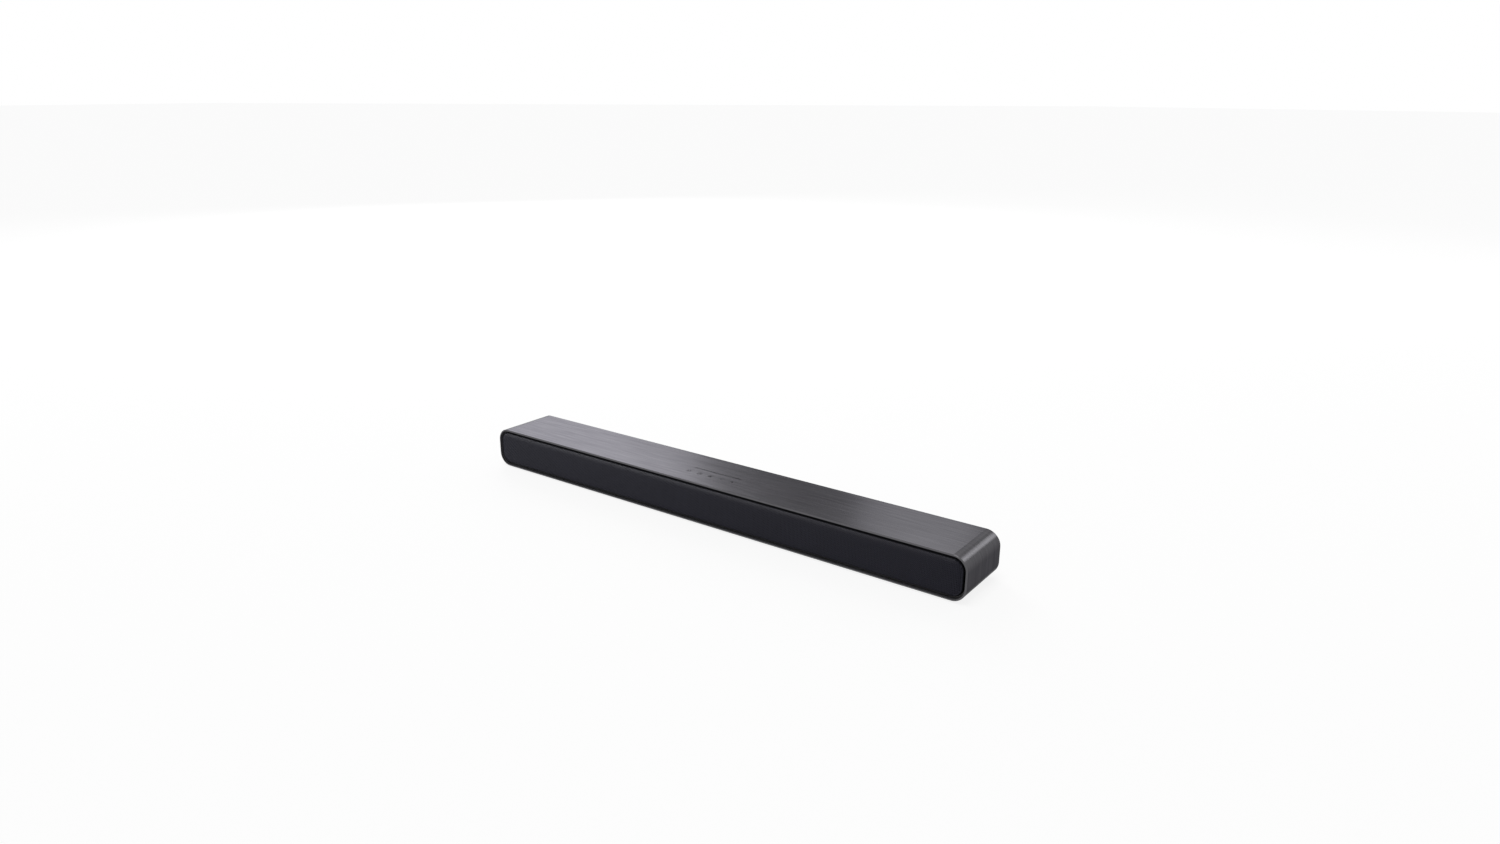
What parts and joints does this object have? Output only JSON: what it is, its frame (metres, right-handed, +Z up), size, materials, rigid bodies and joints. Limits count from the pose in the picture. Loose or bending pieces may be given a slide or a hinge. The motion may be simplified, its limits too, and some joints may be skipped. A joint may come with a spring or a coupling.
{
  "type": "soundbar",
  "caption": "Long low television soundbar: brushed wrap-round sleeve, perforated front grille, flush push keys on top, sockets in bays at the rear.",
  "frame": {"origin": "centre of the footprint, on the surface the feet stand on", "axes": "+X along the bar to its right end seen from the front, -Y out of the grille, +Z up"},
  "size_m": [0.81, 0.094, 0.062],
  "materials": {
    "sleeve": "brushed along its length, satin",
    "black_plastic": "fine texture",
    "grille": "perforated, satin powder coat",
    "scrim": "open black weave",
    "lens": "smoked, clear",
    "board": "green solder mask",
    "screws": "zinc plated",
    "black_screws": "black oxide",
    "plated_steel": "zinc plated",
    "transformer": "yellow tape over ferrite",
    "capacitor": "shrunk sleeve",
    "chips": "moulded epoxy",
    "aluminium": "extruded",
    "cover": "moulded, spark-eroded texture",
    "brass": "turned",
    "rubber": "matt",
    "basket": "stamped, black coated",
    "foam": "closed-cell foam",
    "magnet": "sintered ferrite",
    "spider": "resin-dipped weave",
    "cone": "pressed pulp",
    "copper": "enamelled wire on a former",
    "dome": "coated silk"
  },
  "bodies": {
    "bar": {"sleeve": "sleeve", "baffle": "black_plastic", "grille": "grille", "grille_frame": "black_plastic", "grille_scrim": "scrim", "display_lens": "lens", "display_board": "board", "key_board": "board", "key_switches": "black_plastic", "key_board_screws": "screws", "driver_screws": "black_screws", "box_screws": "screws", "board_tray": "plated_steel", "power_board": "board", "transformer": "transformer", "mains_capacitor": "capacitor", "main_board": "board", "board_chips": "chips", "heat_sink": "aluminium", "speaker_leads": "rubber", "board_screws": "screws", "rear_cover": "cover", "socket_plate": "cover", "mains_inlet": "black_plastic", "hdmi_socket": "plated_steel", "optical_socket": "black_plastic", "usb_socket": "plated_steel", "aux_socket": "black_plastic", "wall_inserts": "brass", "case_screws": "black_screws", "rubber_feet": "rubber", "left_woofer_basket": "basket", "left_woofer_gasket": "foam", "left_woofer_magnet": "magnet", "left_woofer_yoke": "plated_steel", "left_woofer_spider": "spider", "left_woofer_surround": "rubber", "left_tweeter": "black_plastic", "left_tweeter_roll": "dome", "left_speaker_box": "black_plastic", "right_woofer_basket": "basket", "right_woofer_gasket": "foam", "right_woofer_magnet": "magnet", "right_woofer_yoke": "plated_steel", "right_woofer_spider": "spider", "right_woofer_surround": "rubber", "right_tweeter": "black_plastic", "right_tweeter_roll": "dome", "right_speaker_box": "black_plastic"},
    "key_power": {"key_power": "sleeve"},
    "key_source": {"key_source": "sleeve"},
    "key_pairing": {"key_pairing": "sleeve"},
    "key_volume_down": {"key_volume_down": "sleeve"},
    "key_volume_up": {"key_volume_up": "sleeve"},
    "left_cone": {"left_woofer_cone": "cone", "left_voice_coil": "copper"},
    "right_cone": {"right_woofer_cone": "cone", "right_voice_coil": "copper"},
    "left_dome": {"left_tweeter_dome": "dome"},
    "right_dome": {"right_tweeter_dome": "dome"}
  },
  "joints": [
    {"name": "press_power", "type": "slide", "parent": "bar", "child": "key_power", "axis": [0, 0, -1], "range_m": [0, 0.0004], "stiffness_N_per_m": 500, "springref_m": -0.0006},
    {"name": "press_source", "type": "slide", "parent": "bar", "child": "key_source", "axis": [0, 0, -1], "range_m": [0, 0.0004], "stiffness_N_per_m": 500, "springref_m": -0.0006},
    {"name": "press_pairing", "type": "slide", "parent": "bar", "child": "key_pairing", "axis": [0, 0, -1], "range_m": [0, 0.0004], "stiffness_N_per_m": 500, "springref_m": -0.0006},
    {"name": "press_volume_down", "type": "slide", "parent": "bar", "child": "key_volume_down", "axis": [0, 0, -1], "range_m": [0, 0.0004], "stiffness_N_per_m": 500, "springref_m": -0.0006},
    {"name": "press_volume_up", "type": "slide", "parent": "bar", "child": "key_volume_up", "axis": [0, 0, -1], "range_m": [0, 0.0004], "stiffness_N_per_m": 500, "springref_m": -0.0006},
    {"name": "left_cone_stroke", "type": "slide", "parent": "bar", "child": "left_cone", "axis": [0, -1, 0], "range_m": [-0.0025, 0.0025], "stiffness_N_per_m": 1200, "deforming": ["left_woofer_surround", "left_woofer_spider"]},
    {"name": "left_dome_stroke", "type": "slide", "parent": "bar", "child": "left_dome", "axis": [0, -1, 0], "range_m": [-0.0002, 0.0002], "stiffness_N_per_m": 2500, "deforming": ["left_tweeter_roll"]},
    {"name": "right_cone_stroke", "type": "slide", "parent": "bar", "child": "right_cone", "axis": [0, -1, 0], "range_m": [-0.0025, 0.0025], "stiffness_N_per_m": 1200, "deforming": ["right_woofer_surround", "right_woofer_spider"]},
    {"name": "right_dome_stroke", "type": "slide", "parent": "bar", "child": "right_dome", "axis": [0, -1, 0], "range_m": [-0.0002, 0.0002], "stiffness_N_per_m": 2500, "deforming": ["right_tweeter_roll"]}
  ]
}
